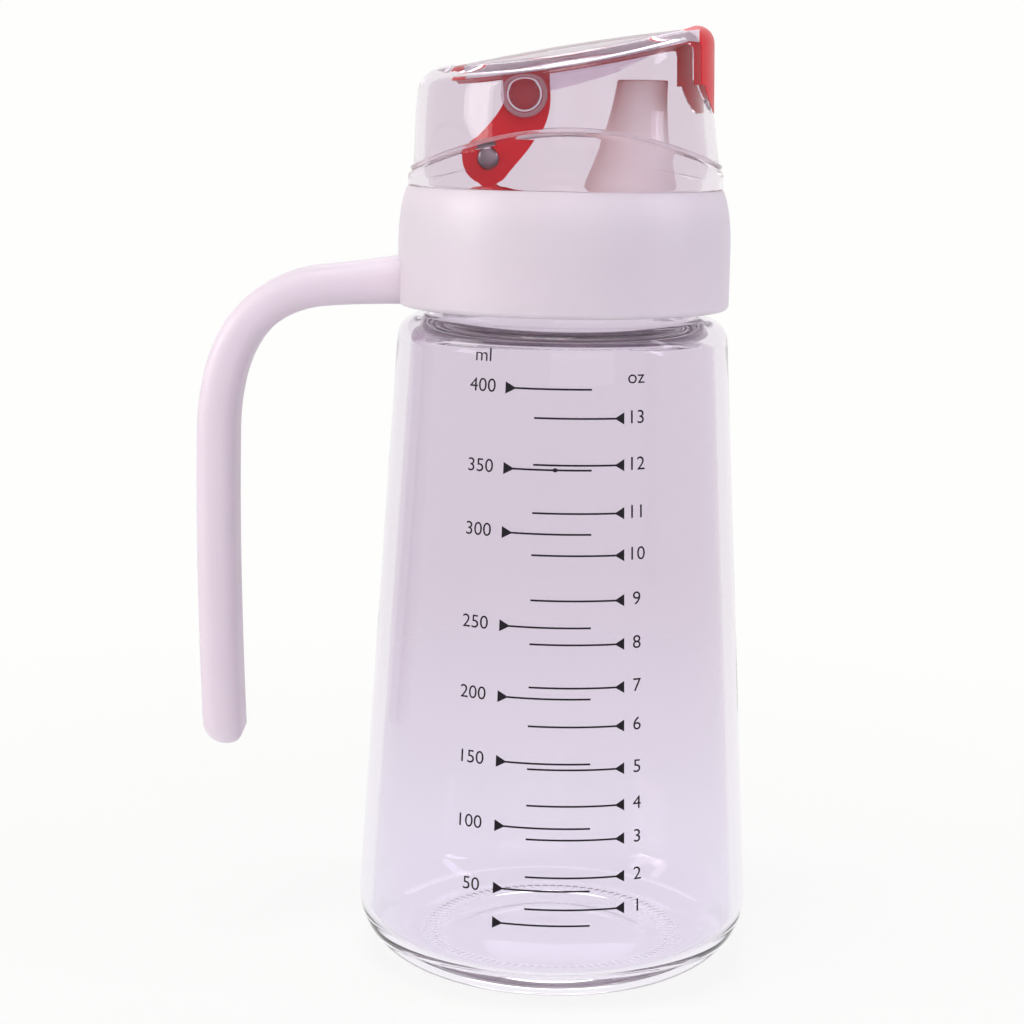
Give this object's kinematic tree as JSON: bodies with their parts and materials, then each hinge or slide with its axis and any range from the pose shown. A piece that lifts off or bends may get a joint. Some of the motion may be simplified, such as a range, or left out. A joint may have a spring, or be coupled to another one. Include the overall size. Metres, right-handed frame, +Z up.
{
  "type": "glass oil dispenser bottle",
  "caption": "Tapered glass oil bottle with a screw collar and side handle, and a clear spout cover whose weighted red flap opens when the bottle is tipped.",
  "frame": {"origin": "on the table, under the middle of the outer box of bottle and handle; the bottle's upright axis is at x = 0.01665, y = 0", "axes": "+Z up along the bottle's axis, +X towards the pouring side, -X towards the handle, Y along the lid's hinge line"},
  "size_m": [0.1124, 0.0792, 0.1873],
  "materials": {
    "clear_glass": "clear soda-lime glass, fire polished, with a dark printed measuring scale",
    "silicone": "satin translucent silicone",
    "milky_plastic": "satin natural polypropylene, slightly translucent",
    "white_plastic": "satin-gloss moulded white polypropylene",
    "clear_plastic": "polished clear styrene plastic",
    "red_plastic": "satin-gloss moulded red plastic",
    "steel": "turned stainless steel with domed ends"
  },
  "bodies": {
    "bottle": {"glass_bottle": "clear_glass"},
    "seal": {"seal_ring": "silicone"},
    "cap": {"pour_spout": "milky_plastic", "collar_with_handle": "white_plastic", "clear_dome": "clear_plastic"},
    "flap": {"red_flap": "red_plastic", "counterweight_rod": "steel"}
  },
  "joints": [
    {"name": "cap_rise", "type": "slide", "parent": "bottle", "child": "seal", "axis": [0, 0, 1], "range_m": [0, 0.006]},
    {"name": "cap_turn", "type": "hinge", "parent": "seal", "child": "cap", "pos_m": [0.01665, 0, 0.14], "axis": [0, 0, 1], "range_deg": [0, 540]},
    {"name": "flap_pivot", "type": "hinge", "parent": "cap", "child": "flap", "pos_m": [0.00835, 0, 0.1735], "axis": [0, -1, 0], "range_deg": [0, 55]}
  ],
  "couplings": [
    {"joint": "cap_rise", "follows": "cap_turn", "m_per_rad": 0.000636}
  ]
}
